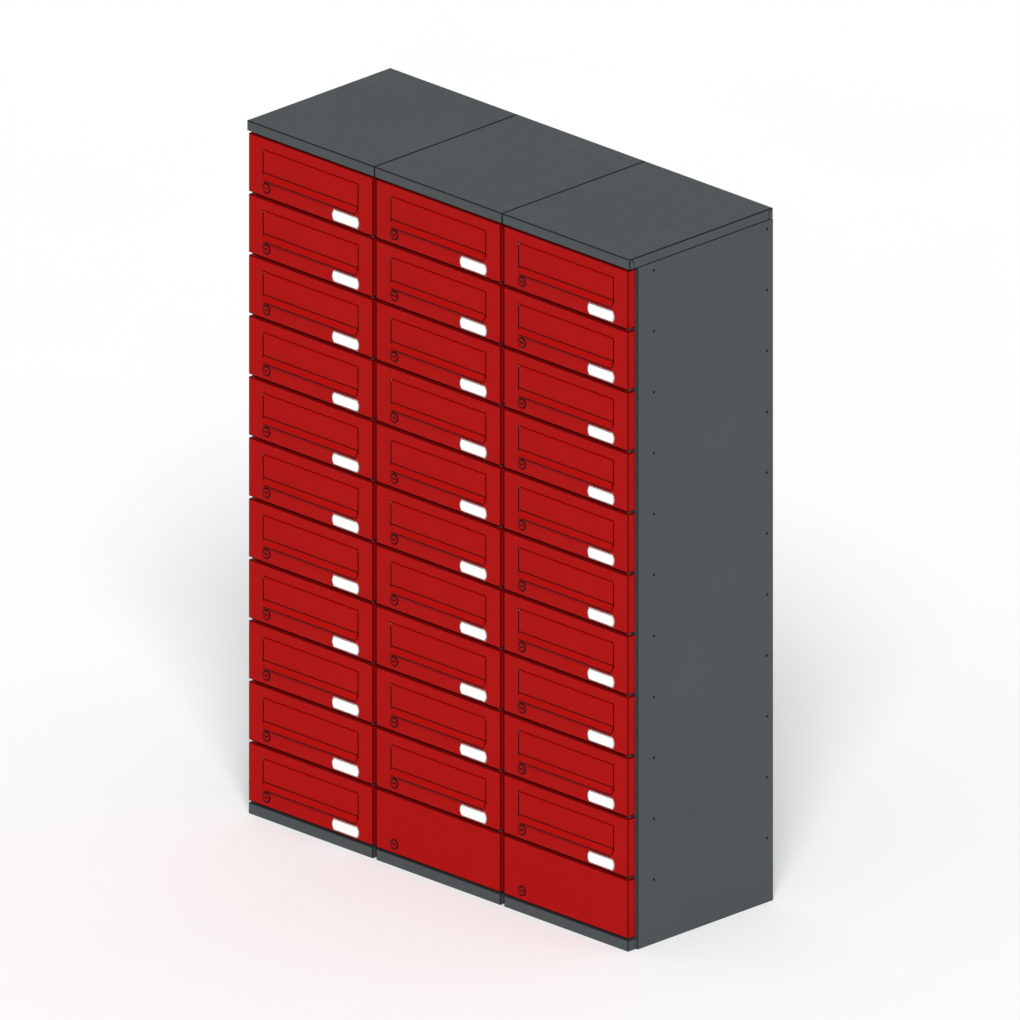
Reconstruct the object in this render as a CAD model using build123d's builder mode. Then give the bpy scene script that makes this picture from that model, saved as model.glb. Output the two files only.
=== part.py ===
from build123d import *
import os

# A bank of letterboxes: three sheet steel columns, bolted side by side, of eleven locked
# compartments each. Millimetres, +Z up, doors facing -Y. The origin is on the floor, under
# the middle of the bank.

# ---- driving dimensions ----
# the bank
columns = 3
rows = 11
blank_compartments = ((2, 11), (3, 11))  # column and row of doors without a slot
column_pitch = 303.5
row_pitch = 110.0
casing_depth = 322.0
plinth_height = 20.0

# casing
casing_sheet = 1.5
wall_return = 18.0  # width of the walls' front and back returns
base_lip = 25.0
wall_hole_radius = 3.5
wall_hole_spacing = 240.0

# shelves and their rivets
shelf_sheet = 1.2
shelf_flange = 25.0
shelf_front_lip = 8.0
rivet_drop = 14.2  # below each compartment's top
rivet_front_inset = 38.0  # behind the casing's front
rivet_back_inset = 15.0  # before the casing's back
rivet_shank_radius = 1.5
rivet_head_radius = 2.6
rivet_head_depth = 0.8
rivet_tail_radius = 2.4
rivet_tail_height = 1.0
rivet_clearance = 0.1

# bolts between the columns
bolt_radius = 3.0
bolt_head_radius = 5.2
bolt_head_height = 3.2
bolt_clearance = 0.2
bolt_inset = 60.0  # from the casing's front and back
nut_width = 10.0
nut_height = 3.0
thread_clearance = 0.05

# top covers
cover_height = 18.0
cover_gap = 2.0  # shadow gap between casing and cover
cover_seam = 0.5  # between two covers
tab_length = 10.5
tab_slope = 7.3
tab_gap = 0.8
rail_width = 40.0
rail_spacing = 180.0
rail_end_inset = 30.0

# door leaves
door_sheet = 1.2
door_depth = 16.0
door_fold_radius = 0.8
door_side_gap = 4.25
door_top_gap = 1.5
door_low_gap = 3.0
door_back_gap = 3.0  # between a closed door and the casing

# mail slot and flap
slot_width = 227.0
slot_height = 46.8
slot_drop = 21.4  # below the compartment's top
flap_sheet = 1.0
flap_side_gap = 1.6
flap_top_gap = 1.5
flap_fold_drop = 42.2  # below the slot's top, where the lip begins
lip_height = 13.5
lip_reach = 4.0
lip_taper = 1.3
lip_corner_radius = 3.0
knuckle_radius = 2.8
rod_radius = 1.25
rod_clearance = 0.05
ear_thickness = 1.5
ear_gap = 0.5
ear_half_height = 4.0
ear_reach = 6.5

# name plate
plate_width = 64.0
plate_height = 21.0
plate_bulge = 4.5
plate_thickness = 0.8
plate_left = 203.0  # from the compartment's left side
plate_rise = 6.0  # above the compartment's floor

# lock
lock_left = 47.0  # from the compartment's left side
lock_rise = 20.0  # above the compartment's floor
bezel_radius = 9.25
bezel_proud = 0.8
barrel_radius = 8.0
barrel_clearance = 0.1
lock_nut_radius = 11.0
lock_nut_height = 4.0
plug_radius = 5.5
plug_clearance = 0.05
keyway_length = 9.0
keyway_width = 1.8
keyway_depth = 2.5
stub_radius = 2.5
stub_head_radius = 3.8
stub_head_height = 1.2
cam_thickness = 2.0
cam_width = 14.0
cam_reach = 35.0
cam_clearance = 0.8  # behind the wall return it hooks

# hinges
hinge_inset = 6.5  # from the door's right edge to the pin
hinge_depth = 8.5  # from the door's face to the pin
pin_radius = 2.0
pin_clearance = 0.05
pin_engagement = 1.5
collar_radius = 3.2
collar_clearance = 0.1
lug_sheet = 1.0
lug_radius = 4.5

# ---- worked out from those ----
door_space = door_depth + door_back_gap  # from the door faces' plane to the casing
front = (lip_reach - door_space - casing_depth) / 2  # the door faces' plane in Y
casing_top = plinth_height + rows * row_pitch
casing_back = door_space + casing_depth
cover_base = casing_top + cover_gap
cover_top = cover_base + cover_height
inner_width = column_pitch - 2 * casing_sheet
inner_front = door_space + casing_sheet
inner_back = casing_back - 2 * casing_sheet

door_width = column_pitch - 2 * door_side_gap
door_height = row_pitch - door_top_gap - door_low_gap
slot_top = row_pitch - slot_drop
flap_width = slot_width - 2 * flap_side_gap
flap_top = slot_top - flap_top_gap
flap_axis_z = flap_top - knuckle_radius
fold_z = slot_top - flap_fold_drop
rod_bore = rod_radius + rod_clearance
ear_x = slot_width / 2 + ear_gap

lock_x = lock_left - column_pitch / 2
barrel_hole = barrel_radius + barrel_clearance
plug_bore = plug_radius + plug_clearance
cam_front = door_space + casing_sheet + cam_clearance
cam_back = cam_front + cam_thickness
barrel_end = cam_front - cam_clearance

pin_x = column_pitch / 2 - door_side_gap - hinge_inset
pin_hole = pin_radius + pin_clearance
rivet_depths = (door_space + rivet_front_inset, casing_back - rivet_back_inset)
rivet_hole = rivet_shank_radius + rivet_clearance
bolt_depths = (door_space + bolt_inset, casing_back - bolt_inset)
bolt_rows = (2, rows - 1)


# Every sub-part is drawn in its compartment's own frame: X from the column's middle, Y from
# the plane of the door faces and Z from the compartment's floor. Those of a whole column
# have Z from the floor of the room.


def column_place(column):
    """The frame of one column."""
    return Pos((column - (columns + 1) / 2) * column_pitch, front, 0)


def row_floor(row):
    """The height of a compartment's floor, with row 1 at the top."""
    return casing_top - row * row_pitch


def place(column, row):
    """The frame of one compartment."""
    return column_place(column) * Pos(0, 0, row_floor(row))


def box_between(low, high, mode=Mode.ADD):
    """A block between two corners."""
    size = [end - start for start, end in zip(low, high)]
    with Locations(low):
        Box(*size, align=(Align.MIN, Align.MIN, Align.MIN), mode=mode)


# ---- casing ----


def make_wall(joined):
    """A left wall: a channel with front and back returns. A joined one has bolt holes."""
    with BuildPart() as wall:
        with BuildSketch() as section:
            with Locations((-column_pitch / 2, door_space)):
                Rectangle(wall_return, casing_depth, align=(Align.MIN, Align.MIN))
            fillet(section.vertices().group_by(Axis.X)[0], casing_sheet)
            with Locations((-inner_width / 2, door_space + casing_sheet)):
                Rectangle(
                    wall_return - casing_sheet,
                    casing_depth - 2 * casing_sheet,
                    align=(Align.MIN, Align.MIN),
                    mode=Mode.SUBTRACT,
                )
        extrude(amount=casing_top)
        outside = Plane.ZY.offset(column_pitch / 2)
        rivets = [
            (row_floor(row) + row_pitch - rivet_drop, depth)
            for row in range(1, rows + 1)
            for depth in rivet_depths
        ]
        with Locations(outside):
            with Locations(*rivets):
                CounterBoreHole(
                    rivet_hole,
                    rivet_head_radius + rivet_clearance,
                    rivet_head_depth,
                    depth=casing_sheet,
                )
        if joined:
            bolts = [
                (row_floor(row) + row_pitch / 2, depth)
                for row in bolt_rows
                for depth in bolt_depths
            ]
            with Locations(outside):
                with Locations(*bolts):
                    Hole(bolt_radius + bolt_clearance, depth=casing_sheet)
    return wall


def make_back_panel():
    """A column's back, held between the shelves and the walls' back returns."""
    with BuildPart() as panel:
        with BuildSketch(Plane.XZ.offset(-inner_back)):
            with Locations((0, casing_top / 2)):
                Rectangle(inner_width, casing_top)
        extrude(amount=-casing_sheet)
        fixings = [
            (side * wall_hole_spacing / 2, row_floor(row) + row_pitch / 2)
            for side in (-1, 1)
            for row in (1, rows)
        ]
        with Locations(Plane.XZ.offset(-inner_back)):
            with Locations(*fixings):
                Hole(wall_hole_radius, depth=casing_sheet)
    return panel


def make_base_tray():
    """The floor of the bottom compartment, on folded feet at the front and the back."""
    half = inner_width / 2
    with BuildPart() as tray:
        box_between((-half, inner_front, 0), (half, inner_back, plinth_height))
        box_between(
            (-half, inner_front + casing_sheet, casing_sheet),
            (half, inner_back - casing_sheet, plinth_height - casing_sheet),
            mode=Mode.SUBTRACT,
        )
        box_between(
            (-half, inner_front + base_lip, 0),
            (half, inner_back - base_lip, casing_sheet),
            mode=Mode.SUBTRACT,
        )
    return tray


def make_plinth_strip():
    """The strip below the doors, open at the back and below."""
    half = door_width / 2
    with BuildPart() as strip:
        box_between((-half, 0, 0), (half, door_space, plinth_height))
        box_between(
            (-half + casing_sheet, casing_sheet, 0),
            (half - casing_sheet, door_space, plinth_height - casing_sheet),
            mode=Mode.SUBTRACT,
        )
    return strip


def make_shelf():
    """The top of a compartment, with turned-down side flanges and a front lip."""
    half = inner_width / 2
    inside = half - shelf_sheet
    flange_z = row_pitch - shelf_flange
    with BuildPart() as shelf:
        box_between((-half, inner_front, flange_z), (half, inner_back, row_pitch))
        box_between(
            (-inside, inner_front + shelf_sheet, flange_z),
            (inside, inner_back, row_pitch - shelf_sheet),
            mode=Mode.SUBTRACT,
        )
        box_between(
            (-inside, inner_front, flange_z),
            (inside, inner_front + shelf_sheet, row_pitch - shelf_front_lip),
            mode=Mode.SUBTRACT,
        )
        with Locations(Plane.YZ):
            with Locations(*[(depth, row_pitch - rivet_drop) for depth in rivet_depths]):
                Hole(rivet_hole)
    return shelf


def make_rivet():
    """A flush-headed rivet from the left wall's outside into a shelf's flange."""
    grip = casing_sheet + shelf_sheet
    with BuildPart() as rivet:
        with BuildSketch(Plane.ZY.offset(column_pitch / 2)):
            Circle(rivet_head_radius)
        extrude(amount=-rivet_head_depth)
        with BuildSketch(Plane.ZY.offset(column_pitch / 2)):
            Circle(rivet_shank_radius)
        extrude(amount=-grip)
        with BuildSketch(Plane.ZY.offset(column_pitch / 2 - grip)):
            Circle(rivet_tail_radius)
        extrude(amount=-rivet_tail_height)
    return rivet


def make_column_bolt():
    """A bolt through two walls that stand back to back at X = 0."""
    with BuildPart() as bolt:
        with BuildSketch(Plane.YZ.offset(-casing_sheet - bolt_head_height)):
            Circle(bolt_head_radius)
        extrude(amount=bolt_head_height)
        chamfer(bolt.edges().sort_by(Axis.X)[0], bolt_head_height / 4)
        with BuildSketch(Plane.YZ.offset(-casing_sheet)):
            Circle(bolt_radius)
        extrude(amount=2 * casing_sheet + nut_height)
    return bolt


def make_column_nut():
    """The nut of that bolt."""
    with BuildPart() as nut:
        with BuildSketch(Plane.YZ.offset(casing_sheet)):
            RegularPolygon(nut_width / 2, 6, major_radius=False)
            Circle(bolt_radius + thread_clearance, mode=Mode.SUBTRACT)
        extrude(amount=nut_height)
    return nut


# ---- top ----


def make_cover():
    """A folded tray whose front and back flanges return round its corners as tabs."""
    width = column_pitch - cover_seam
    half = width / 2
    with BuildPart() as cover:
        box_between((-half, 0, cover_base), (half, casing_back, cover_top))
        box_between(
            (-half + casing_sheet, casing_sheet, cover_base),
            (half - casing_sheet, casing_back - casing_sheet, cover_top - casing_sheet),
            mode=Mode.SUBTRACT,
        )
        for side in (half, casing_sheet - half):
            with BuildSketch(Plane.YZ.offset(side)):
                with BuildLine():
                    Polyline((0, cover_top), (tab_length, cover_top - tab_slope), (tab_length, cover_base))
                trace(line_width=tab_gap)
                mirror(about=Plane.XZ.offset(-casing_back / 2))
            extrude(amount=-casing_sheet, mode=Mode.SUBTRACT)
    return cover


def make_rail(offset_x):
    """A channel on the casing's top that carries the cover."""
    half = rail_width / 2
    with BuildPart() as rail:
        box_between(
            (offset_x - half, door_space + rail_end_inset, casing_top),
            (offset_x + half, casing_back - rail_end_inset, cover_top - casing_sheet),
        )
        box_between(
            (offset_x - half + casing_sheet, door_space + rail_end_inset, casing_top),
            (offset_x + half - casing_sheet, casing_back - rail_end_inset, cover_top - 2 * casing_sheet),
            mode=Mode.SUBTRACT,
        )
    return rail


# ---- doors ----


def make_leaf(slotted):
    """A door leaf: a tray open at the back, with its lock, hinge and mail openings."""
    half = door_width / 2
    door_top = door_low_gap + door_height
    with BuildPart() as leaf:
        box_between((-half, 0, door_low_gap), (half, door_depth, door_top))
        fillet(leaf.faces().sort_by(Axis.Y)[0].edges(), door_fold_radius)
        box_between(
            (-half + door_sheet, door_sheet, door_low_gap + door_sheet),
            (half - door_sheet, door_depth, door_top - door_sheet),
            mode=Mode.SUBTRACT,
        )
        with Locations(Plane.XZ):
            with Locations((lock_x, lock_rise)):
                Hole(barrel_hole, depth=door_sheet)
        with Locations((pin_x, hinge_depth, door_top)):
            Hole(pin_hole, depth=door_height)
        if slotted:
            with BuildSketch(Plane.XZ):
                with Locations((0, slot_top)):
                    Rectangle(slot_width, slot_height, align=(Align.CENTER, Align.MAX))
            extrude(amount=-door_sheet, mode=Mode.SUBTRACT)
    return leaf


def make_flap():
    """The flap: a flat sheet rolled round its rod, ending in a forward sloping lip."""
    half = flap_width / 2
    lip_bottom = fold_z - lip_height
    with BuildPart() as flap:
        with BuildSketch(Plane.YZ.offset(-half)):
            with BuildLine():
                Polyline((0, flap_axis_z), (0, fold_z), (-lip_reach, lip_bottom))
                offset(amount=flap_sheet, side=Side.LEFT)
            make_face()
            with Locations((knuckle_radius, flap_axis_z)):
                Circle(knuckle_radius)
                Circle(rod_bore, mode=Mode.SUBTRACT)
        extrude(amount=flap_width)
        with BuildSketch(Plane.XZ) as outline:
            with BuildLine():
                Polyline(
                    (-half, flap_top),
                    (-half, fold_z),
                    (-half + lip_taper, lip_bottom),
                    (half - lip_taper, lip_bottom),
                    (half, fold_z),
                    (half, flap_top),
                    close=True,
                )
            make_face()
            fillet(outline.vertices().group_by(Axis.Z)[0], lip_corner_radius)
        extrude(amount=column_pitch, both=True, mode=Mode.INTERSECT)
    return flap


def make_rod():
    """The flap's rod, fixed in the ears."""
    half = ear_x + ear_thickness
    with BuildPart() as rod:
        with BuildSketch(Plane.YZ.offset(-half)):
            with Locations((knuckle_radius, flap_axis_z)):
                Circle(rod_radius)
        extrude(amount=2 * half)
    return rod


def make_ears():
    """The two ears behind the leaf that hold the rod."""
    with BuildPart() as ears:
        for start in (ear_x, -ear_x - ear_thickness):
            with BuildSketch(Plane.YZ.offset(start)):
                with Locations((door_sheet, flap_axis_z)):
                    Rectangle(ear_reach, 2 * ear_half_height, align=(Align.MIN, Align.CENTER))
                with Locations((knuckle_radius, flap_axis_z)):
                    Circle(rod_bore, mode=Mode.SUBTRACT)
            extrude(amount=ear_thickness)
    return ears


def make_name_plate():
    """A thin plate with bulging ends on the door's face."""
    left = plate_left - column_pitch / 2
    right = left + plate_width
    top = plate_rise + plate_height
    with BuildPart() as plate:
        with BuildSketch(Plane.XZ):
            with BuildLine():
                Line((left + plate_bulge, top), (right - plate_bulge, top))
                SagittaArc((right - plate_bulge, top), (right - plate_bulge, plate_rise), plate_bulge)
                Line((right - plate_bulge, plate_rise), (left + plate_bulge, plate_rise))
                SagittaArc((left + plate_bulge, plate_rise), (left + plate_bulge, top), plate_bulge)
            make_face()
        extrude(amount=plate_thickness)
    return plate


# ---- lock ----


def lock_disc(depth, radius, length, mode=Mode.ADD):
    """A disc of the lock, from a depth behind the door's face towards the back."""
    with Locations(Plane.XZ.offset(-depth)):
        with Locations((lock_x, lock_rise)):
            Cylinder(radius, length, align=(Align.CENTER, Align.CENTER, Align.MAX), mode=mode)


def make_lock_housing():
    """The bezel and barrel that stay with the door."""
    with BuildPart() as housing:
        lock_disc(-bezel_proud, bezel_radius, bezel_proud)
        chamfer(housing.edges().sort_by(Axis.Y)[0], bezel_proud / 2)
        lock_disc(0, barrel_radius, barrel_end)
        lock_disc(-bezel_proud, plug_bore, bezel_proud + barrel_end, mode=Mode.SUBTRACT)
    return housing


def make_lock_nut():
    """The ring nut that clamps the barrel behind the leaf."""
    with BuildPart() as nut:
        lock_disc(door_sheet, lock_nut_radius, lock_nut_height)
        lock_disc(door_sheet, barrel_radius + thread_clearance, lock_nut_height, mode=Mode.SUBTRACT)
    return nut


def make_lock_plug():
    """The turning plug: keyway in front, and a peened stub behind that holds the cam."""
    with BuildPart() as plug:
        lock_disc(-bezel_proud, plug_radius, bezel_proud + cam_front)
        lock_disc(cam_front, stub_radius, cam_thickness)
        lock_disc(cam_back, stub_head_radius, stub_head_height)
        with BuildSketch(Plane.XZ.offset(bezel_proud)):
            with Locations((lock_x, lock_rise)):
                SlotOverall(keyway_length, keyway_width)
        extrude(amount=-keyway_depth, mode=Mode.SUBTRACT)
    return plug


def make_cam():
    """The cam, turned to the right when the door is unlocked."""
    with BuildPart() as cam:
        with BuildSketch(Plane.XZ.offset(-cam_front)):
            with Locations((lock_x + (cam_reach - cam_width / 2) / 2, lock_rise)):
                SlotOverall(cam_reach + cam_width / 2, cam_width)
            with Locations((lock_x, lock_rise)):
                Circle(stub_radius + plug_clearance, mode=Mode.SUBTRACT)
        extrude(amount=-cam_thickness)
    return cam


# ---- hinges ----


def hinge_gap(row):
    """The gap above a row's line, from that line: its low and high edge."""
    low = -door_top_gap if row < rows else 0
    high = door_low_gap if row > 0 else 0
    return low, high


def make_lug(row):
    """The plate in the middle of that gap that carries the pin."""
    low, high = hinge_gap(row)
    bottom = row_floor(row) + (low + high - lug_sheet) / 2
    with BuildPart() as lug:
        with BuildSketch(Plane.XY.offset(bottom)):
            with Locations((pin_x, hinge_depth)):
                Circle(lug_radius)
                Rectangle(2 * lug_radius, door_space - hinge_depth, align=(Align.CENTER, Align.MIN))
                Circle(pin_hole, mode=Mode.SUBTRACT)
        extrude(amount=lug_sheet)
    return lug


def make_pin(row):
    """A hinge pin that enters the doors below and above, with a collar under the upper one."""
    low, high = hinge_gap(row)
    lug_bottom = (low + high - lug_sheet) / 2
    lug_top = lug_bottom + lug_sheet
    start = low - door_sheet - pin_engagement if row < rows else lug_bottom
    end = high + door_sheet + pin_engagement if row > 0 else lug_top
    with BuildPart() as pin:
        with BuildSketch(Plane.XY.offset(row_floor(row) + start)):
            with Locations((pin_x, hinge_depth)):
                Circle(pin_radius)
        extrude(amount=end - start)
        if row > 0:
            with BuildSketch(Plane.XY.offset(row_floor(row) + lug_top)):
                with Locations((pin_x, hinge_depth)):
                    Circle(collar_radius)
            extrude(amount=high - collar_clearance - lug_top)
    return pin


# ---- nodes ----


def keep(name, pieces):
    """Write one node, whose pieces stay separate solids."""
    node = Compound([solid for piece in pieces for solid in piece.solids()])
    node.label = name
    export_step(node, f"parts/{name}.step")


def right_handed(piece):
    """The same piece for a column's right side."""
    return mirror(piece, about=Plane.YZ)


def door_name(column, row):
    """The suffix shared by the nodes of one compartment."""
    return f"c{column}_r{row:02d}"


os.makedirs("parts", exist_ok=True)
column_numbers = range(1, columns + 1)
row_numbers = range(1, rows + 1)

outer_wall = make_wall(joined=False).part
joined_wall = make_wall(joined=True).part
keep("left_side_panel", [column_place(1) * outer_wall])
keep("right_side_panel", [column_place(columns) * right_handed(outer_wall)])
partition_walls = []
for column in range(1, columns):
    partition_walls.append(column_place(column) * right_handed(joined_wall))
    partition_walls.append(column_place(column + 1) * joined_wall)
keep("partition_walls", partition_walls)

back_panel = make_back_panel().part
base_tray = make_base_tray().part
plinth_strip = make_plinth_strip().part
keep("back_panels", [column_place(column) * back_panel for column in column_numbers])
keep("base_trays", [column_place(column) * base_tray for column in column_numbers])
keep("plinth_strips", [column_place(column) * plinth_strip for column in column_numbers])

shelf = make_shelf().part
left_rivet = make_rivet().part
right_rivet = right_handed(left_rivet)
shelves = []
rivets = []
for column in column_numbers:
    for row in row_numbers:
        shelves.append(place(column, row) * shelf)
        for depth in rivet_depths:
            at = place(column, row) * Pos(0, depth, row_pitch - rivet_drop)
            rivets.append(at * left_rivet)
            rivets.append(at * right_rivet)
keep("shelves", shelves)
keep("shelf_rivets", rivets)

column_bolt = make_column_bolt().part
column_nut = make_column_nut().part
column_bolts = []
for column in range(1, columns):
    for row in bolt_rows:
        for depth in bolt_depths:
            at = place(column, row) * Pos(column_pitch / 2, depth, row_pitch / 2)
            column_bolts.append(at * column_bolt)
            column_bolts.append(at * column_nut)
keep("column_bolts", column_bolts)

cover = make_cover().part
keep("top_cover_left", [column_place(1) * cover])
keep("top_cover_middle", [column_place(2) * cover])
keep("top_cover_right", [column_place(3) * cover])
rails = []
for column in column_numbers:
    for offset_x in (-rail_spacing / 2, rail_spacing / 2):
        rails.append(column_place(column) * make_rail(offset_x).part)
keep("cover_rails", rails)

hinge_lines = range(0, rows + 1)
lugs = [make_lug(row).part for row in hinge_lines]
pins = [make_pin(row).part for row in hinge_lines]
keep("hinge_lugs", [column_place(column) * lug for column in column_numbers for lug in lugs])
keep("hinge_pins", [column_place(column) * pin for column in column_numbers for pin in pins])

slotted_leaf = make_leaf(slotted=True).part
blank_leaf = make_leaf(slotted=False).part
flap = make_flap().part
flap_rod = make_rod().part
flap_ears = make_ears().part
name_plate = make_name_plate().part
lock_housing = make_lock_housing().part
lock_nut = make_lock_nut().part
lock_plug = make_lock_plug().part
lock_cam = make_cam().part

for column in column_numbers:
    for row in row_numbers:
        at = place(column, row)
        fixed = [lock_housing, lock_nut]
        turning = [lock_plug, lock_cam]
        if (column, row) in blank_compartments:
            fixed.append(blank_leaf)
        else:
            fixed.extend([slotted_leaf, flap_rod, flap_ears, name_plate])
            if column == 1:
                keep(f"flap_{door_name(column, row)}", [at * flap])
            else:
                fixed.append(flap)
        if (column, row) == (1, 1):
            keep(f"lock_plug_{door_name(column, row)}", [at * piece for piece in turning])
        else:
            fixed.extend(turning)
        keep(f"door_{door_name(column, row)}", [at * piece for piece in fixed])
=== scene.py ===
import math

import bmesh
import bpy
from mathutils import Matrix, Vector


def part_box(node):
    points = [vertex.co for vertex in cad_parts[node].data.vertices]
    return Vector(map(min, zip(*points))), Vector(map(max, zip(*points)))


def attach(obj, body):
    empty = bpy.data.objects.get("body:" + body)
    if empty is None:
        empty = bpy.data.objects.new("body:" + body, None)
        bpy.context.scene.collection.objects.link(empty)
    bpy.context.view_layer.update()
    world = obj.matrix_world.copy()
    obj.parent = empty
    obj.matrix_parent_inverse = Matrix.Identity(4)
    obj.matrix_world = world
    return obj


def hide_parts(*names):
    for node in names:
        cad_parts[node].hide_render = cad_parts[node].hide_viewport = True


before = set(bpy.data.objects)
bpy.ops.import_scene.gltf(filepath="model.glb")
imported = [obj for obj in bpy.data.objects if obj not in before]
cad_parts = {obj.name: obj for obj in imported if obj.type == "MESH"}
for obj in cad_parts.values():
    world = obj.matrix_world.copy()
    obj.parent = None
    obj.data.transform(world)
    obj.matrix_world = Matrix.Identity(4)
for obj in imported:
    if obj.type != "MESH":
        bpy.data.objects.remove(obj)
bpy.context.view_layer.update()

# ---- sizes of the casing, in metres ----
MM = 0.001
COLUMNS = 3
ROWS = 11
BLANK_DOORS = ("c2_r11", "c3_r11")

CASING_SHEET = 1.5 * MM
DOOR_SHEET = 1.2 * MM
DOOR_DEPTH = 16 * MM
FOLD_RADIUS = 1.6 * MM
CUT_EDGE = 0.4 * MM  # how far the edge of a cut sheet is broken

# ---- doors: sizes from a compartment's left front corner at its floor ----
DOOR_SIDE_GAP = 4.25 * MM
DOOR_LOW_GAP = 3 * MM
PIN_INSET = 6.5 * MM
PIN_DEPTH = 8.5 * MM
PIN_HOLE_RADIUS = 2.05 * MM
COLUMN_PITCH = 303.5 * MM
ROW_PITCH = 110 * MM

# ---- mail slot, flap, and the rod and ears that carry it ----
SLOT_WIDTH = 227 * MM
SLOT_HEIGHT = 46.8 * MM
SLOT_TOP = ROW_PITCH - 21.4 * MM
FLAP_SHEET = 1 * MM
FLAP_WIDTH = SLOT_WIDTH - 3.2 * MM
FLAP_TOP = SLOT_TOP - 1.5 * MM
FLAP_FOLD = SLOT_TOP - 42.2 * MM
FLAP_BEND = 1.2 * MM
LIP_HEIGHT = 13.5 * MM
LIP_REACH = 4 * MM
LIP_TAPER = 1.3 * MM
LIP_CORNER = 3 * MM
LIP_SHADE_STRIP = 1.6 * MM  # painted shade: a dark strip along the lip's lower edge, standing in for the shadow line under the lip
KNUCKLE_RADIUS = 2.8 * MM
ROD_RADIUS = 1.25 * MM
EAR_THICKNESS = 1.5 * MM
EAR_GAP = 0.5 * MM
EAR_REACH = 6.5 * MM
EAR_HALF_HEIGHT = 4 * MM

# ---- name plate ----
PLATE_LEFT = 203 * MM
PLATE_WIDTH = 64 * MM
PLATE_RISE = 6 * MM
PLATE_HEIGHT = 21 * MM
PLATE_BULGE = 4.5 * MM
PLATE_THICKNESS = 0.8 * MM
PLATE_BEVEL = 0.4 * MM
PLATE_BORDER = 1.1 * MM  # the dark core's band around the white face, painted as a shade line along the plate's edge

# ---- cam lock ----
LOCK_LEFT = 47 * MM
LOCK_RISE = 20 * MM
LOCK_AT = (LOCK_LEFT, 0, LOCK_RISE)
BEZEL_RADIUS = 9.25 * MM
BEZEL_PROUD = 0.8 * MM
BEZEL_RIM = 2.5 * MM  # width of the blackened rim, painted near black as a ring of shade round the bezel
BARREL_RADIUS = 8 * MM
LOCK_HOLE_RADIUS = 8.1 * MM
BARREL_END = 20.5 * MM
PLUG_RADIUS = 5.5 * MM
PLUG_BORE = 5.55 * MM
NUT_RADIUS = 11 * MM
NUT_HEIGHT = 4 * MM
KEYWAY_LENGTH = 9 * MM
KEYWAY_WIDTH = 1.8 * MM
KEYWAY_DEPTH = 2.5 * MM
CAM_FRONT = 21.3 * MM
CAM_THICKNESS = 2 * MM
CAM_WIDTH = 14 * MM
CAM_REACH = 35 * MM
STUB_RADIUS = 2.5 * MM
STUB_HEAD_RADIUS = 3.8 * MM
STUB_HEAD_HEIGHT = 1.2 * MM
HOUSING_EDGE = 0.3 * MM
PLUG_EDGE = 0.2 * MM
CAM_EDGE = 0.25 * MM

# ---- top covers ----
COVER_TAB = 10.5 * MM
COVER_TAB_SLOPE = 7.3 * MM
COVER_TAB_GAP = 1 * MM
COVER_FOLD = 1.8 * MM
COVER_RELIEF = 3.8 * MM  # from a corner to where the side flange begins

# ---- places worked out from the sizes and the nodes ----
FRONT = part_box("plinth_strips")[0].y  # the plane of the door faces
DOOR_LEFT = DOOR_SIDE_GAP
DOOR_RIGHT = COLUMN_PITCH - DOOR_SIDE_GAP
DOOR_BOTTOM = DOOR_LOW_GAP
DOOR_TOP = DOOR_LOW_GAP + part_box("door_c1_r02")[1].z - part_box("door_c1_r02")[0].z
SLOT_LEFT = (COLUMN_PITCH - SLOT_WIDTH) / 2
SLOT_RIGHT = COLUMN_PITCH - SLOT_LEFT
SLOT_BOTTOM = SLOT_TOP - SLOT_HEIGHT
FLAP_AXIS = FLAP_TOP - KNUCKLE_RADIUS  # height of the flap's hinge line
CAM_BACK = CAM_FRONT + CAM_THICKNESS

# ---- limits for points and for faces that turn against each other ----
SAME_PLACE = 1e-6  # points closer than this are one point
FOLD_ANGLE = math.radians(20)  # above this, two faces meet in a fold
EDGE_ANGLE = math.radians(50)  # above this, they meet in a cut edge
SHADE_ANGLE = math.radians(35)  # above this, they aren't shaded as one

# ---- places in a mesh's list of materials ----
PAINT, EDGE, FOLD = 0, 1, 2  # folded sheet: paint, painted shade on cut edges, painted shade on folds
# the plate's dark core doubles as painted shade along its edge
PLATE_FACE, PLATE_CORE_SHADE = 0, 1
# the lock's third material is near-black painted shade, on the bezel's rim and in the keyway
LOCK_PAINT, LOCK_ZINC, LOCK_SHADE = 0, 1, 2

# ---- stage, light and view ----
FLOOR_REACH = 12
ROOM_LIGHT = 0.53
KEY_LIGHT = 0.76
KEY_FROM = Vector((0.50, -0.50, 0.707))
KEY_SPREAD = math.radians(22)
VIEW_AZIMUTH = math.radians(45)
VIEW_ELEVATION = math.radians(21.45)
VIEW_DISTANCE = 6
BANK_SHARE = 0.5162  # of the view's width, filled by the bank

# ---- colours, linear ----
RED = (0.364, 0.0020, 0.0016, 1)
ANTHRACITE = (0.0580, 0.0676, 0.0711, 1)
PLATE_WHITE = (0.92, 0.92, 0.91, 1)
RED_FOLD_SHADE = (0.070, 0.0010, 0.0008, 1)  # painted shade over the folds
# painted shade over the folds of the anthracite sheet
ANTHRACITE_FOLD_SHADE = (0.012, 0.014, 0.015, 1)
# painted shade, near black, for cut edges, the keyway, the bezel's rim, the lip's strip and the
# plate's border
EDGE_SHADE_COLOUR = (0.006, 0.005, 0.005, 1)
ZINC = (0.58, 0.59, 0.60, 1)
BLACKENED = (0.004, 0.004, 0.005, 1)
FLOOR_WHITE = (0.94, 0.94, 0.94, 1)


# ---- materials ----


def shader(name):
    """A new material and its Principled node."""
    material = bpy.data.materials.new(name)
    material.use_nodes = True
    return material, material.node_tree.nodes["Principled BSDF"]


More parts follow.
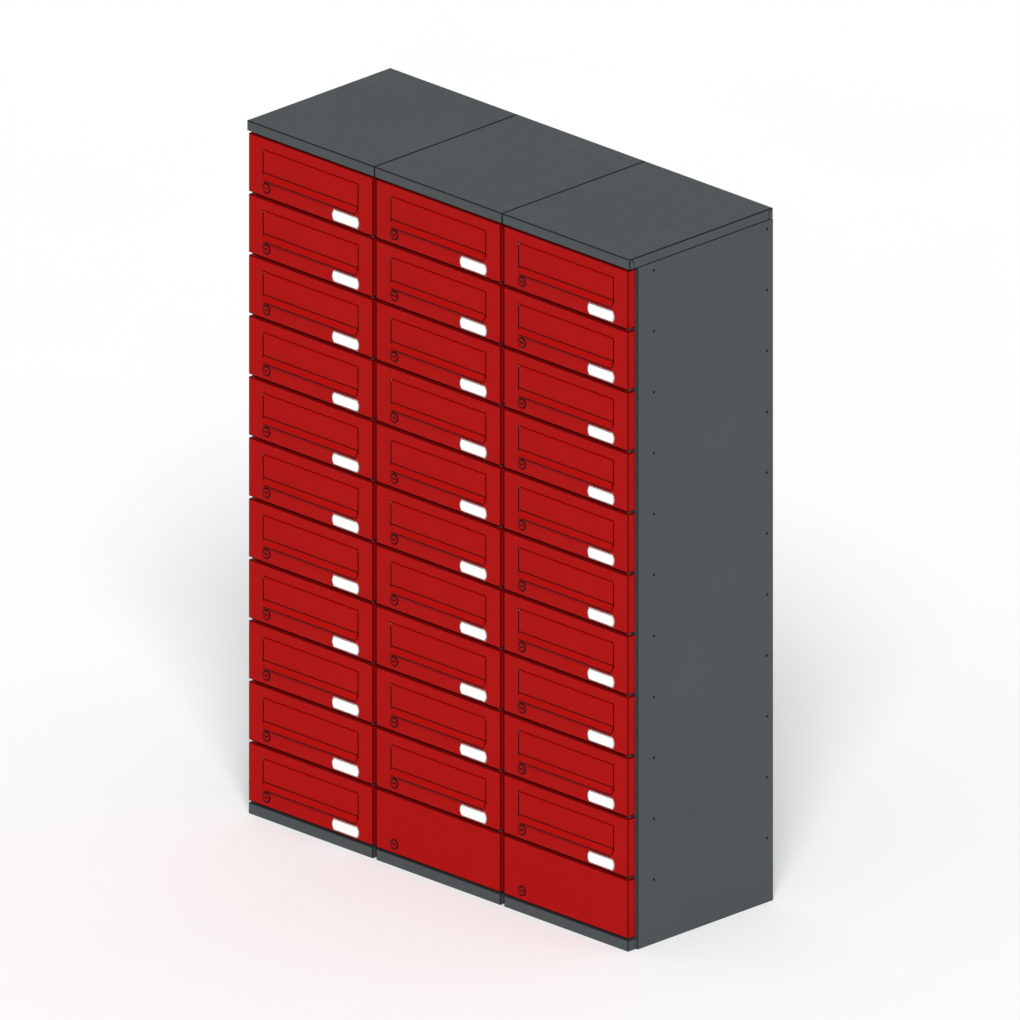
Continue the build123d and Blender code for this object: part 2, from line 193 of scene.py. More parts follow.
def noise(material, scale, detail):
    """A noise texture in object space, in metres."""
    nodes, links = material.node_tree.nodes, material.node_tree.links
    place = nodes.get("Texture Coordinate") or nodes.new("ShaderNodeTexCoord")
    texture = nodes.new("ShaderNodeTexNoise")
    texture.inputs["Scale"].default_value = scale
    texture.inputs["Detail"].default_value = detail
    links.new(place.outputs["Object"], texture.inputs["Vector"])
    return texture.outputs["Fac"]


def spread(material, source, low, high):
    """Maps the middle part of a noise, where most of it lies, to a range of values."""
    ramp = material.node_tree.nodes.new("ShaderNodeMapRange")
    ramp.inputs["From Min"].default_value = 0.3
    ramp.inputs["From Max"].default_value = 0.7
    ramp.inputs["To Min"].default_value = low
    ramp.inputs["To Max"].default_value = high
    material.node_tree.links.new(source, ramp.inputs["Value"])
    return ramp.outputs["Result"]


def tint(material, source, colour, share):
    """A colour that drifts by a small share with a noise."""
    nodes, links = material.node_tree.nodes, material.node_tree.links
    mix = nodes.new("ShaderNodeMix")
    mix.data_type = "RGBA"
    mix.inputs["A"].default_value = [c * (1 - share) for c in colour[:3]] + [1]
    mix.inputs["B"].default_value = [min(c * (1 + share), 1) for c in colour[:3]] + [1]
    links.new(source, mix.inputs["Factor"])
    return mix.outputs["Result"]


def bump(material, source, distance, strength, under=None):
    """A bump of a real height, in metres, over another one if given."""
    nodes, links = material.node_tree.nodes, material.node_tree.links
    node = nodes.new("ShaderNodeBump")
    node.inputs["Distance"].default_value = distance
    node.inputs["Strength"].default_value = strength
    links.new(source, node.inputs["Height"])
    if under:
        links.new(under, node.inputs["Normal"])
    return node.outputs["Normal"]


def powder_coat(name, colour, roughness, specular):
    """Baked powder paint: orange peel, a fine grain, and slow drifts of colour and gloss."""
    material, surface = shader(name)
    links = material.node_tree.links
    drift = spread(material, noise(material, scale=6, detail=3), low=0, high=1)
    links.new(tint(material, drift, colour, share=0.035), surface.inputs["Base Color"])
    gloss = noise(material, scale=40, detail=4)
    gloss = spread(material, gloss, low=roughness - 0.05, high=roughness + 0.05)
    links.new(gloss, surface.inputs["Roughness"])
    peel = noise(material, scale=420, detail=2)
    peel = bump(material, peel, distance=0.04 * MM, strength=0.5)
    grain = noise(material, scale=1500, detail=3)
    grain = bump(material, grain, distance=0.01 * MM, strength=0.4, under=peel)
    links.new(grain, surface.inputs["Normal"])
    surface.inputs["Specular IOR Level"].default_value = specular
    return material


def paint_shade_on_upright_folds(material, colour):
    """Paints shade into a paint where the surface turns from one upright face of the casing to
    another.
    """
    nodes, links = material.node_tree.nodes, material.node_tree.links
    surface = nodes["Principled BSDF"]
    parts = nodes.new("ShaderNodeSeparateXYZ")
    links.new(nodes["Texture Coordinate"].outputs["Normal"], parts.inputs["Vector"])
    product = nodes.new("ShaderNodeMath")
    product.operation = "MULTIPLY"
    links.new(parts.outputs["X"], product.inputs[0])
    links.new(parts.outputs["Y"], product.inputs[1])
    size = nodes.new("ShaderNodeMath")
    size.operation = "ABSOLUTE"
    links.new(product.outputs["Value"], size.inputs[0])
    # mask of the painted shade over the upright folds
    turn = nodes.new("ShaderNodeMapRange")
    turn.inputs["From Min"].default_value = 0.05  # the product is 0 on a flat face
    turn.inputs["From Max"].default_value = 0.15  # and 0.5 halfway round a fold
    links.new(size.outputs["Value"], turn.inputs["Value"])
    mix = nodes.new("ShaderNodeMix")
    mix.data_type = "RGBA"
    mix.inputs["B"].default_value = colour
    links.new(surface.inputs["Base Color"].links[0].from_socket, mix.inputs["A"])
    links.new(turn.outputs["Result"], mix.inputs["Factor"])
    links.new(mix.outputs["Result"], surface.inputs["Base Color"])


def plated_metal(name, colour, roughness):
    """Plated steel with a fine scatter of gloss and faint handling marks."""
    material, surface = shader(name)
    links = material.node_tree.links
    cloud = noise(material, scale=90, detail=4)
    drift = spread(material, cloud, low=0, high=1)
    links.new(tint(material, drift, colour, share=0.08), surface.inputs["Base Color"])
    gloss = spread(material, cloud, low=roughness - 0.08, high=roughness + 0.10)
    links.new(gloss, surface.inputs["Roughness"])
    grain = noise(material, scale=900, detail=5)
    grain = bump(material, grain, distance=0.01 * MM, strength=0.5)
    links.new(grain, surface.inputs["Normal"])
    surface.inputs["Metallic"].default_value = 1
    return material


def plate_plastic(name, colour):
    """Engraving laminate: satin, with a very fine grain and slight ageing."""
    material, surface = shader(name)
    links = material.node_tree.links
    age = spread(material, noise(material, scale=30, detail=4), low=0, high=1)
    links.new(tint(material, age, colour, share=0.02), surface.inputs["Base Color"])
    gloss = spread(material, noise(material, scale=220, detail=3), low=0.30, high=0.42)
    links.new(gloss, surface.inputs["Roughness"])
    grain = noise(material, scale=2500, detail=2)
    grain = bump(material, grain, distance=0.008 * MM, strength=0.3)
    links.new(grain, surface.inputs["Normal"])
    surface.inputs["Specular IOR Level"].default_value = 0.4
    return material


def floor_finish(name, colour):
    """A matt pale floor, almost one tone all over."""
    material, surface = shader(name)
    drift = spread(material, noise(material, scale=2, detail=2), low=0, high=1)
    material.node_tree.links.new(
        tint(material, drift, colour, share=0.004), surface.inputs["Base Color"]
    )
    surface.inputs["Roughness"].default_value = 0.85
    surface.inputs["Specular IOR Level"].default_value = 0.1
    return material


red_paint = powder_coat("red_powder_coat", RED, roughness=0.45, specular=0.05)
grey_paint = powder_coat("anthracite_powder_coat", ANTHRACITE, roughness=0.52, specular=0.18)
# darker copies of the paints for the folds: painted shade
red_fold_shade = powder_coat("red_painted_fold_shade", RED_FOLD_SHADE, roughness=0.50, specular=0.04)
grey_fold_shade = powder_coat("anthracite_painted_fold_shade", ANTHRACITE_FOLD_SHADE, roughness=0.55, specular=0.08)
# anthracite with painted shade over the walls' upright folds
wall_paint_with_fold_shade = powder_coat("anthracite_walls_painted_fold_shade", ANTHRACITE, roughness=0.52, specular=0.18)
paint_shade_on_upright_folds(wall_paint_with_fold_shade, ANTHRACITE_FOLD_SHADE)
# near-black paint: painted shade on cut edges and other dark lines
edge_shade_paint = powder_coat("painted_edge_shade", EDGE_SHADE_COLOUR, roughness=0.65, specular=0.05)
zinc = plated_metal("zinc_plate", ZINC, roughness=0.34)
dark_steel = powder_coat("blackened_steel", BLACKENED, roughness=0.60, specular=0.12)
plate_white = plate_plastic("name_plate_laminate", PLATE_WHITE)

red_sheet = [red_paint, edge_shade_paint, red_fold_shade]
grey_sheet = [grey_paint, edge_shade_paint, grey_fold_shade]
plate_layers = [plate_white, edge_shade_paint]
lock_finishes = [red_paint, zinc, edge_shade_paint]


# ---- mesh tools ----


def in_scene(name, data):
    """A new object for a mesh, lamp or camera."""
    item = bpy.data.objects.new(name, data)
    bpy.context.scene.collection.objects.link(item)
    return item


def with_modifiers(draft):
    """An object's mesh as its modifiers make it, under the same name. The object goes."""
    mesh, name = draft.data, draft.data.name
    bpy.context.view_layer.update()
    shape = draft.evaluated_get(bpy.context.evaluated_depsgraph_get())
    final = bpy.data.meshes.new_from_object(shape)
    bpy.data.objects.remove(draft)
    bpy.data.meshes.remove(mesh)
    final.name = name
    return final


def mesh_from(bm, name, materials=()):
    """The bmesh as a mesh with its materials."""
    mesh = bpy.data.meshes.new(name)
    bm.to_mesh(mesh)
    bm.free()
    for material in materials:
        mesh.materials.append(material)
    return mesh


def face_from(bm, points):
    """A face whose corners are shared with faces already there."""
    corners = []
    for point in points:
        point = Vector(point)
        near = [v for v in bm.verts if (v.co - point).length < SAME_PLACE]
        corners.append(near[0] if near else bm.verts.new(point))
    return bm.faces.new(corners)


def turned_from(bm, inside):
    """Turns every face of a convex shell away from a point inside it."""
    bm.normal_update()
    for face in bm.faces:
        if (face.calc_center_median() - Vector(inside)).dot(face.normal) < 0:
            face.normal_flip()


def bevel(bm, edges, size, segments, **options):
    """Rounds edges off."""
    bmesh.ops.bevel(
        bm, geom=edges, offset=size, segments=segments, profile=0.5, affect="EDGES", **options
    )


def fold_edges(bm, radius, segments):
    """Turns the edges between faces that meet at an angle into folds."""
    edges = [e for e in bm.edges if len(e.link_faces) == 2 and e.calc_face_angle() > FOLD_ANGLE]
    # the fold faces take the painted fold shade
    bevel(bm, edges, radius, segments, clamp_overlap=True, material=FOLD)


def finished(bm, name, materials, thickness=0, cut_edge=0):
    """The bmesh as a final mesh: sheet thickness inwards, painted shade on its rims and broken
    edges, and even shading.
    """
    draft = in_scene(name, mesh_from(bm, name, materials))
    if thickness:
        sheet = draft.modifiers.new("sheet", "SOLIDIFY")
        sheet.thickness = thickness
        sheet.offset = -1
        sheet.use_even_offset = True
        # the sheet's rims take the painted edge shade
        sheet.material_offset_rim = EDGE
    if cut_edge:
        edge = draft.modifiers.new("edge", "BEVEL")
        edge.width = cut_edge
        edge.segments = 2
        edge.limit_method = "ANGLE"
        edge.angle_limit = EDGE_ANGLE
        # the broken edges take the painted edge shade
        edge.material = EDGE
    return shaded(with_modifiers(draft))


def shaded(mesh):
    """Smooth shading that keeps flat faces flat beside rounded edges."""
    mesh.polygons.foreach_set("use_smooth", [True] * len(mesh.polygons))
    mesh.set_sharp_from_angle(angle=SHADE_ANGLE)
    draft = in_scene("weighted", mesh)
    draft.modifiers.new("weighted", "WEIGHTED_NORMAL").keep_sharp = True
    return with_modifiers(draft)


def add_box(bm, low, high):
    """A closed block between two corners."""
    for v in bmesh.ops.create_cube(bm, size=1)["verts"]:
        v.co = Vector([lo + (c + 0.5) * (hi - lo) for lo, hi, c in zip(low, high, v.co)])


def add_lathe(bm, profile, centre, material, steps=48):
    """A closed ring of faces: (radius, depth) points turned about a line along Y."""
    rings = []
    for radius, depth in profile:
        if radius < SAME_PLACE:
            rings.append([bm.verts.new((centre[0], centre[1] + depth, centre[2]))] * steps)
            continue
        ring = []
        for i in range(steps):
            angle = 2 * math.pi * i / steps
            ring.append(bm.verts.new((
                centre[0] + radius * math.cos(angle),
                centre[1] + depth,
                centre[2] + radius * math.sin(angle),
            )))
        rings.append(ring)
    for first, second in zip(rings, rings[1:]):
        for i in range(steps):
            j = (i + 1) % steps
            corners = list(dict.fromkeys((first[i], first[j], second[j], second[i])))
            bm.faces.new(corners).material_index = material


def stadium(centre_x, centre_z, length, width, steps=12):
    """The outline of a slot along X: straight sides and round ends."""
    radius = width / 2
    reach = length / 2 - radius
    points = []
    for side in (1, -1):
        for i in range(steps + 1):
            angle = side * (math.pi / 2) - math.pi * i / steps
            points.append((
                centre_x + side * reach + radius * math.cos(angle),
                centre_z + radius * math.sin(angle),
            ))
    return points


def circle(centre_x, centre_z, radius, steps=48):
    """The outline of a round hole, its centre given by its first and second coordinate."""
    turns = [2 * math.pi * i / steps for i in range(steps)]
    return [(centre_x + radius * math.cos(a), centre_z + radius * math.sin(a)) for a in turns]


def put_in_order(bm):
    """Orders corners, edges and faces by place, so that each run gives the same mesh."""
    across = Vector((1, 0.37, 0.13))
    bm.verts.sort(key=lambda v: v.co.dot(across))
    bm.edges.sort(key=lambda e: (e.verts[0].co + e.verts[1].co).dot(across))
    bm.faces.sort(key=lambda f: f.calc_center_median().dot(across))


def add_prism(bm, outline, start, end, material=PAINT, upright=False):
    """A closed prism along Y over an outline in X and Z, or upright over one in X and Y."""
    def corners(depth):
        if upright:
            return [bm.verts.new((x, y, depth)) for x, y in outline]
        return [bm.verts.new((x, depth, z)) for x, z in outline]
    near, far = corners(start), corners(end)
    faces = [bm.faces.new(near), bm.faces.new(list(reversed(far)))]
    for i in range(len(outline)):
        j = (i + 1) % len(outline)
        faces.append(bm.faces.new((near[j], near[i], far[i], far[j])))
    for face in faces:
        face.material_index = material


def cut_away(mesh, outline, start, end, upright=False):
    """Cuts a prism out of a mesh."""
    bm = bmesh.new()
    add_prism(bm, outline, start, end, upright=upright)
    bmesh.ops.recalc_face_normals(bm, faces=bm.faces)
    cutter = in_scene("cutter", mesh_from(bm, "cutter"))
    draft = in_scene("cut", mesh)
    modifier = draft.modifiers.new("cut", "BOOLEAN")
    modifier.operation = "DIFFERENCE"
    modifier.solver = "EXACT"
    modifier.object = cutter
    final = with_modifiers(draft)
    bpy.data.meshes.remove(cutter.data)
    return final


def piece(name, mesh, at, body, replaced=()):
    """A piece of the object: its mesh at a place, riding on a body."""
    item = in_scene(name, mesh)
    item.location = at
    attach(item, body)
    if replaced:
        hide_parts(*replaced)
    return item


# ---- doors ----


def rectangle(left, bottom, right, top, depth):
    """The corners of an upright rectangle, parallel to the front."""
    return [(left, depth, bottom), (right, depth, bottom), (right, depth, top), (left, depth, top)]


def ring_between(bm, first, second):
    """Four faces between the corners of two rectangles."""
    for i in range(4):
        j = (i + 1) % 4
        face_from(bm, (first[i], first[j], second[j], second[i]))


def leaf_mesh(slotted):
    """A door leaf folded from one sheet: face, four flanges and the mail slot."""
    bm = bmesh.new()
    front = rectangle(DOOR_LEFT, DOOR_BOTTOM, DOOR_RIGHT, DOOR_TOP, 0)
    back = rectangle(DOOR_LEFT, DOOR_BOTTOM, DOOR_RIGHT, DOOR_TOP, DOOR_DEPTH)
    if slotted:
        ring_between(bm, front, rectangle(SLOT_LEFT, SLOT_BOTTOM, SLOT_RIGHT, SLOT_TOP, 0))
    else:
        face_from(bm, front)
    ring_between(bm, front, back)
    turned_from(bm, (COLUMN_PITCH / 2, DOOR_DEPTH, ROW_PITCH / 2))
    fold_edges(bm, FOLD_RADIUS, 4)
    name = "slotted_leaf" if slotted else "blank_leaf"
    leaf = finished(bm, name, red_sheet, DOOR_SHEET, CUT_EDGE)
    lock_hole = circle(LOCK_LEFT, LOCK_RISE, LOCK_HOLE_RADIUS)
    leaf = cut_away(leaf, lock_hole, -MM, DOOR_SHEET + MM)
    pin_holes = circle(DOOR_RIGHT - PIN_INSET, PIN_DEPTH, PIN_HOLE_RADIUS)
    return shaded(cut_away(leaf, pin_holes, 0, ROW_PITCH, upright=True))


def add_flap(bm):
    """The flap's outer surface: rolled edge, flat sheet and forward sloping lip."""
    left = (COLUMN_PITCH - FLAP_WIDTH) / 2
    right = COLUMN_PITCH - left
    profile = []
    roll_sweep = math.radians(290)
    roll_steps = 14
    for i in range(roll_steps + 1):
        angle = roll_sweep * (1 - i / roll_steps)
        profile.append((
            KNUCKLE_RADIUS - KNUCKLE_RADIUS * math.cos(angle),
            FLAP_AXIS + KNUCKLE_RADIUS * math.sin(angle),
        ))
    profile.append((0, FLAP_FOLD))
    for (y1, z1), (y2, z2) in zip(profile, profile[1:]):
        face_from(bm, ((left, y1, z1), (left, y2, z2), (right, y2, z2), (right, y1, z1)))
    lip = [(left, 0), (right, 0)]
    corner_steps = 5
    for side, edge in ((1, right), (-1, left)):
        turn = []
        for i in range(corner_steps + 1):
            angle = math.pi / 2 * i / corner_steps
            turn.append((
                edge - side * (LIP_TAPER + LIP_CORNER * (1 - math.cos(angle))),
                LIP_HEIGHT - LIP_CORNER * (1 - math.sin(angle)),
            ))
        lip.extend(turn if side == 1 else reversed(turn))
    slope = LIP_REACH / LIP_HEIGHT
    face_from(bm, [(x, -down * slope, FLAP_FOLD - down) for x, down in reversed(lip)])


def flap_mesh():
    """The flap, its sheet thickness turned inwards from its outer surface."""
    bm = bmesh.new()
    add_flap(bm)
    # the strip of painted shade along the lip's lower edge
    edge_z = FLAP_FOLD - LIP_HEIGHT + LIP_SHADE_STRIP
    everything = bm.verts[:] + bm.edges[:] + bm.faces[:]
    bmesh.ops.bisect_plane(bm, geom=everything, plane_co=(0, 0, edge_z), plane_no=(0, 0, 1))
    for face in bm.faces:
        if face.calc_center_median().z < edge_z:
            face.material_index = EDGE
    on_fold = [v for v in bm.verts if math.hypot(v.co.y, v.co.z - FLAP_FOLD) < SAME_PLACE]
    fold = [e for e in bm.edges if all(v in on_fold for v in e.verts)]
    # the flap's fold takes the painted fold shade
    bevel(bm, fold, FLAP_BEND, 3, material=FOLD)
    return finished(bm, "flap", red_sheet, FLAP_SHEET, CUT_EDGE)


def hardware_mesh():
    """The flap's rod and the two ears that hold it."""
    bm = bmesh.new()
    starts = (SLOT_LEFT - EAR_GAP - EAR_THICKNESS, SLOT_RIGHT + EAR_GAP)
    steps = 20
    rings = []
    for x in (starts[0], starts[1] + EAR_THICKNESS):
        ring = []
        for i in range(steps):
            angle = 2 * math.pi * i / steps
            ring.append(bm.verts.new((
                x,
                KNUCKLE_RADIUS + ROD_RADIUS * math.cos(angle),
                FLAP_AXIS + ROD_RADIUS * math.sin(angle),
            )))
        rings.append(ring)
    bm.faces.new(rings[0])
    bm.faces.new(list(reversed(rings[1])))
    for i in range(steps):
        j = (i + 1) % steps
        bm.faces.new((rings[0][i], rings[1][i], rings[1][j], rings[0][j]))
    for start in starts:
        add_box(
            bm,
            (start, DOOR_SHEET, FLAP_AXIS - EAR_HALF_HEIGHT),
            (start + EAR_THICKNESS, DOOR_SHEET + EAR_REACH, FLAP_AXIS + EAR_HALF_HEIGHT),
        )
    bmesh.ops.recalc_face_normals(bm, faces=bm.faces)
    return finished(bm, "flap_hardware", [zinc], cut_edge=CUT_EDGE)


def plate_outline():
    """The name plate's outline: straight long sides and bulging ends."""
    half = PLATE_HEIGHT / 2
    radius = (half ** 2 + PLATE_BULGE ** 2) / (2 * PLATE_BULGE)
    sweep = math.asin(half / radius)
    right = PLATE_LEFT + PLATE_WIDTH
    steps = 16
    points = []
    for side, end in ((1, right), (-1, PLATE_LEFT)):
        for i in range(steps + 1):
            angle = sweep * (1 - 2 * i / steps)
            points.append((
                end - side * (radius - radius * math.cos(angle)),
                PLATE_RISE + half + side * radius * math.sin(angle),
            ))
    return points


def plate_mesh():
    """The name plate: white laminate whose dark core shows at the bevelled edge and in a band
    round the face, painted as a shade line along the plate's edge.
    """
    bm = bmesh.new()
    add_prism(bm, plate_outline(), -PLATE_THICKNESS, 0, material=PLATE_CORE_SHADE)
    bmesh.ops.recalc_face_normals(bm, faces=bm.faces)
    rim = [e for e in bm.edges if all(v.co.y < -PLATE_THICKNESS / 2 for v in e.verts)]
    bevel(bm, rim, PLATE_BEVEL, 2)
    front = min(bm.faces, key=lambda f: (round(f.calc_center_median().y, 6), -f.calc_area()))
    # the band inset round the face keeps the dark colour, a painted shade line
    bmesh.ops.inset_region(bm, faces=[front], thickness=PLATE_BORDER, use_even_offset=True)
    front.material_index = PLATE_FACE
    put_in_order(bm)
    return finished(bm, "name_plate", plate_layers)


def add_housing(bm):
    """The bezel, painted, with a blackened rim that is a ring of painted shade, and the plated
    barrel with its ring nut.
    """
    edge = HOUSING_EDGE
    bore_step = 2 * MM
    rim_start = BEZEL_RADIUS - BEZEL_RIM
    nut_back = DOOR_SHEET + NUT_HEIGHT
    add_lathe(bm, [
        (PLUG_BORE, bore_step), (PLUG_BORE, -BEZEL_PROUD + edge / 2),
        (PLUG_BORE + edge / 2, -BEZEL_PROUD), (rim_start, -BEZEL_PROUD),
    ], LOCK_AT, LOCK_PAINT)
    # the bezel's rim and side: painted shade round the bezel
    add_lathe(bm, [
        (rim_start, -BEZEL_PROUD), (BEZEL_RADIUS - edge, -BEZEL_PROUD),
        (BEZEL_RADIUS - edge / 3, -BEZEL_PROUD + edge / 3), (BEZEL_RADIUS, -BEZEL_PROUD + edge),
        (BEZEL_RADIUS, 0), (BARREL_RADIUS, 0),
    ], LOCK_AT, LOCK_SHADE)
    add_lathe(bm, [
        (BARREL_RADIUS, 0), (BARREL_RADIUS, BARREL_END - edge), (BARREL_RADIUS - edge, BARREL_END),
        (PLUG_BORE, BARREL_END), (PLUG_BORE, bore_step),
    ], LOCK_AT, LOCK_ZINC)
    add_lathe(bm, [
        (BARREL_RADIUS, DOOR_SHEET), (NUT_RADIUS - edge, DOOR_SHEET),
        (NUT_RADIUS, DOOR_SHEET + edge), (NUT_RADIUS, nut_back - edge),
        (NUT_RADIUS - edge, nut_back), (BARREL_RADIUS, nut_back), (BARREL_RADIUS, DOOR_SHEET),
    ], LOCK_AT, LOCK_ZINC)


def welded(bm):
    """Joins corners that lie in one place and turns every face outwards."""
    bmesh.ops.remove_doubles(bm, verts=bm.verts, dist=SAME_PLACE)
    bmesh.ops.recalc_face_normals(bm, faces=bm.faces)
    return bm


def keyed_plug():
    """The plug with its keyway, and the peened stub that holds the cam."""
    bm = bmesh.new()
    add_lathe(bm, [
        (0, -BEZEL_PROUD), (PLUG_RADIUS - PLUG_EDGE, -BEZEL_PROUD),
        (PLUG_RADIUS, -BEZEL_PROUD + PLUG_EDGE), (PLUG_RADIUS, KEYWAY_DEPTH),
    ], LOCK_AT, LOCK_PAINT)
    add_lathe(bm, [
        (PLUG_RADIUS, KEYWAY_DEPTH), (PLUG_RADIUS, CAM_FRONT), (STUB_RADIUS, CAM_FRONT),
        (STUB_RADIUS, CAM_BACK), (STUB_HEAD_RADIUS, CAM_BACK),
        (STUB_HEAD_RADIUS * 0.8, CAM_BACK + STUB_HEAD_HEIGHT), (0, CAM_BACK + STUB_HEAD_HEIGHT),
    ], LOCK_AT, LOCK_ZINC)
    mesh = mesh_from(welded(bm), "lock_plug", lock_finishes)
    keyway = stadium(LOCK_LEFT, LOCK_RISE, KEYWAY_LENGTH, KEYWAY_WIDTH)
    mesh = cut_away(mesh, keyway, -BEZEL_PROUD - MM, -BEZEL_PROUD + KEYWAY_DEPTH)
    bm = bmesh.new()
    bm.from_mesh(mesh)
    bpy.data.meshes.remove(mesh)
    # the keyway's inside is painted near black: painted shade in the recess
    keyway_mouth = -BEZEL_PROUD + 0.01 * MM
    for face in bm.faces:
        centre = face.calc_center_median()
        off_axis = math.hypot(centre.x - LOCK_LEFT, centre.z - LOCK_RISE)
        if off_axis < PLUG_RADIUS - 2 * PLUG_EDGE and keyway_mouth < centre.y <= KEYWAY_DEPTH:
            face.material_index = LOCK_SHADE
    return bm


def plug_mesh():
    """The turning part of the lock: the plug and its cam."""
    bm = keyed_plug()
    start = len(bm.verts)
    cam_length = CAM_REACH + CAM_WIDTH / 2
    cam = stadium(LOCK_LEFT + (CAM_REACH - CAM_WIDTH / 2) / 2, LOCK_RISE, cam_length, CAM_WIDTH)
    add_prism(bm, cam, CAM_FRONT, CAM_BACK, material=LOCK_ZINC)
    bm.verts.ensure_lookup_table()
    cam_edges = {
        e for v in bm.verts[start:] for e in v.link_edges
        if abs(e.verts[0].co.y - e.verts[1].co.y) < SAME_PLACE
    }
    bevel(bm, list(cam_edges), CAM_EDGE, 2)
    return finished(bm, "lock_plug", lock_finishes)


def lock_meshes():
    """The lock body, the turning plug and both together for doors whose lock stays still."""
    housing = bmesh.new()
    add_housing(housing)
    body = finished(welded(housing), "lock_body", lock_finishes)
    plug = plug_mesh()
    whole = bmesh.new()
    whole.from_mesh(body)
    whole.from_mesh(plug)
    return body, plug, finished(whole, "lock", lock_finishes)


def build_doors():
    """Every compartment's door, flap, name plate, lock and flap hardware."""
    leaf, blank = leaf_mesh(True), leaf_mesh(False)
    flap, hardware, plate = flap_mesh(), hardware_mesh(), plate_mesh()
    lock_body, lock_plug, lock = lock_meshes()
    for column in range(1, COLUMNS + 1):
        for row in range(1, ROWS + 1):
            tag = f"c{column}_r{row:02d}"
            door = f"door_{tag}"
            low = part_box(door)[0]
            at = Vector((low.x - DOOR_LEFT, FRONT, low.z - DOOR_BOTTOM))
            moving_flap, turning_plug = f"flap_{tag}", f"lock_plug_{tag}"
            if tag in BLANK_DOORS:
                piece(f"leaf_{tag}", blank, at, door, [door])
            else:
                piece(f"leaf_{tag}", leaf, at, door, [door])
                piece(f"name_plate_{tag}", plate, at, door)
                piece(f"flap_rod_{tag}", hardware, at, door)
                if moving_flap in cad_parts:
                    piece(f"moving_{moving_flap}", flap, at, moving_flap, [moving_flap])
                else:
                    piece(f"flap_{tag}", flap, at, door)
            if turning_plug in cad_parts:
                piece(f"lock_body_{tag}", lock_body, at, door)
                name = f"turning_plug_{tag}"
                piece(name, lock_plug, at, turning_plug, [turning_plug])
            else:
                piece(f"lock_{tag}", lock, at, door)


# ---- top covers and plinth strips ----


def cover_mesh(low, high):
    """A cover folded from one sheet, its front and back flanges returned as corner tabs."""
    bm = bmesh.new()
    left, right, top, bottom = low.x, high.x, high.z, low.z
    front, back = low.y, high.y
    near, far = front + COVER_RELIEF, back - COVER_RELIEF
    face_from(bm, (
        (left, front, top), (right, front, top), (right, near, top), (right, far, top),
        (right, back, top), (left, back, top), (left, far, top), (left, near, top),
    ))
    for y in (front, back):
        face_from(bm, ((left, y, top), (right, y, top), (right, y, bottom), (left, y, bottom)))
    tab_front = front + COVER_TAB - COVER_TAB_GAP / 2
    tab_back = back - COVER_TAB + COVER_TAB_GAP / 2
    side_front = tab_front + COVER_TAB_GAP
    side_back = tab_back - COVER_TAB_GAP
    tab_shoulder = top - COVER_TAB_SLOPE
    side_shoulder = tab_shoulder + COVER_TAB_GAP / 2
    for x in (left, right):
        for y, tab in ((front, tab_front), (back, tab_back)):
            face_from(bm, ((x, y, top), (x, tab, tab_shoulder), (x, tab, bottom), (x, y, bottom)))
        face_from(bm, (
            (x, near, top), (x, side_front, side_shoulder), (x, side_front, bottom),
            (x, side_back, bottom), (x, side_back, side_shoulder), (x, far, top),
        ))
    turned_from(bm, ((left + right) / 2, (front + back) / 2, bottom))
    fold_edges(bm, COVER_FOLD, 3)
    return bm


def build_covers():
    """The three top covers."""
    for side in ("left", "middle", "right"):
        node = f"top_cover_{side}"
        low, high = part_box(node)
        mesh = finished(cover_mesh(low, high), f"cover_{side}", grey_sheet, CASING_SHEET, CUT_EDGE)
        piece(f"folded_cover_{side}", mesh, (0, 0, 0), "casing", [node])


def strip_mesh(low, high):
    """A plinth strip: face, top and ends, open behind and below."""
    bm = bmesh.new()
    left, right, front, back, bottom, top = low.x, high.x, low.y, high.y, low.z, high.z
    face_from(bm, rectangle(left, bottom, right, top, front))
    face_from(bm, ((left, front, top), (right, front, top), (right, back, top), (left, back, top)))
    for x in (left, right):
        face_from(bm, ((x, front, bottom), (x, front, top), (x, back, top), (x, back, bottom)))
    turned_from(bm, ((left + right) / 2, back, bottom))
    fold_edges(bm, FOLD_RADIUS, 4)
    return finished(bm, "plinth_strip", grey_sheet, CASING_SHEET, CUT_EDGE)


def build_plinths():
    """The three plinth strips, as wide as the doors above them."""
    low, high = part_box("plinth_strips")
    for column in range(1, COLUMNS + 1):
        door_low, door_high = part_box(f"door_c{column}_r11")
        start = Vector((door_low.x, low.y, low.z))
        end = Vector((door_high.x, high.y, high.z))
        mesh = strip_mesh(start, end)
        strip = piece(f"plinth_strip_{column}", mesh, (0, 0, 0), "casing")
        if column == 1:
            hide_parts("plinth_strips")


# ---- walls, shelves and hardware that keep their shape ----


def paint_nodes():
    """Gives every node that still shows its material."""
    kinds = {
        # the walls' paint carries painted shade over their upright folds
        wall_paint_with_fold_shade: ("left_side_panel", "right_side_panel", "partition_walls"),
        grey_paint: ("back_panels", "base_trays", "shelves", "hinge_lugs"),
        zinc: ("column_bolts", "cover_rails", "hinge_pins"),
        dark_steel: ("shelf_rivets",),
    }
    for material, names in kinds.items():
        for name in names:
            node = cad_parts[name]
            if not node.material_slots:
                node.data.materials.append(material)
            for slot in node.material_slots:
                slot.material = material


# ---- stage, light and camera ----


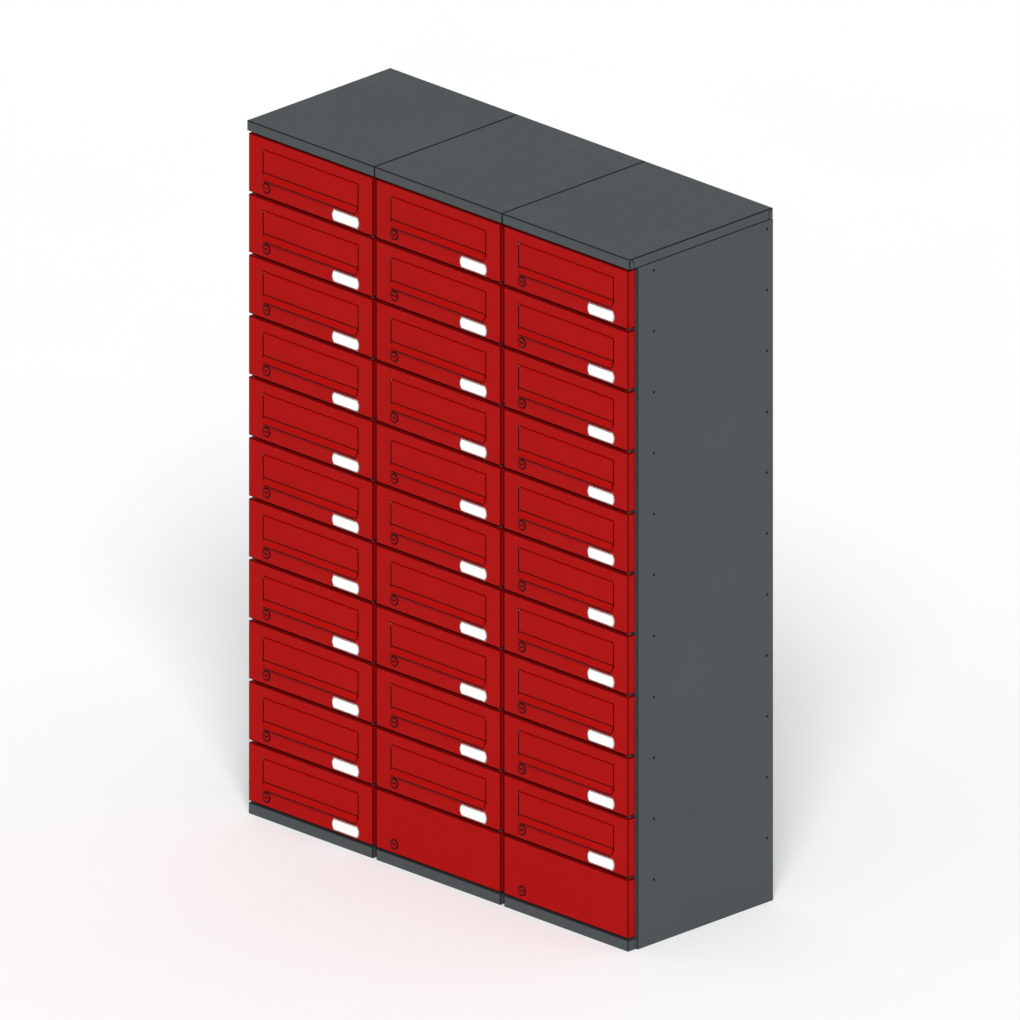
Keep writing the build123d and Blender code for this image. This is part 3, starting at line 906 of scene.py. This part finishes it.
def build_stage():
    """A plain pale floor."""
    bm = bmesh.new()
    reach = FLOOR_REACH
    corners = [(-reach, -reach), (reach, -reach), (reach, reach), (-reach, reach)]
    bm.faces.new([bm.verts.new((x, y, 0)) for x, y in corners])
    floor = in_scene("floor", mesh_from(bm, "floor", [floor_finish("pale_floor", FLOOR_WHITE)]))


def build_light():
    """Soft studio light: a bright room and one key lamp from the upper right of the front."""
    world = bpy.data.worlds.new("studio")
    world.use_nodes = True
    background = world.node_tree.nodes["Background"]
    background.inputs["Color"].default_value = (1, 1, 1, 1)
    background.inputs["Strength"].default_value = ROOM_LIGHT
    bpy.context.scene.world = world
    key = bpy.data.lights.new("key", "SUN")
    key.energy = KEY_LIGHT * math.pi
    key.angle = KEY_SPREAD
    lamp = in_scene("key", key)
    lamp.location = 4 * KEY_FROM
    lamp.rotation_mode = "QUATERNION"
    lamp.rotation_quaternion = KEY_FROM.to_track_quat("Z", "Y")


def build_camera():
    """A parallel view from the front right, looking down, with the casing in the middle."""
    low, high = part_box("left_side_panel")[0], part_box("top_cover_right")[1]
    middle = Vector(((low.x + high.x) / 2, (FRONT + high.y) / 2, (low.z + high.z) / 2))
    seen_width = ((high.x - low.x) + (high.y - FRONT)) * math.cos(VIEW_AZIMUTH)
    data = bpy.data.cameras.new("camera")
    data.type = "ORTHO"
    data.ortho_scale = seen_width / BANK_SHARE
    data.clip_end = 50
    camera = in_scene("camera", data)
    towards_camera = Vector((
        math.sin(VIEW_AZIMUTH) * math.cos(VIEW_ELEVATION),
        -math.cos(VIEW_AZIMUTH) * math.cos(VIEW_ELEVATION),
        math.sin(VIEW_ELEVATION),
    ))
    camera.location = middle + VIEW_DISTANCE * towards_camera
    camera.rotation_mode = "QUATERNION"
    camera.rotation_quaternion = (-towards_camera).to_track_quat("-Z", "Y")
    bpy.context.scene.camera = camera


build_camera()
build_doors()
build_covers()
build_plinths()
paint_nodes()
build_stage()
build_light()
bpy.context.scene.view_settings.view_transform = "Standard"
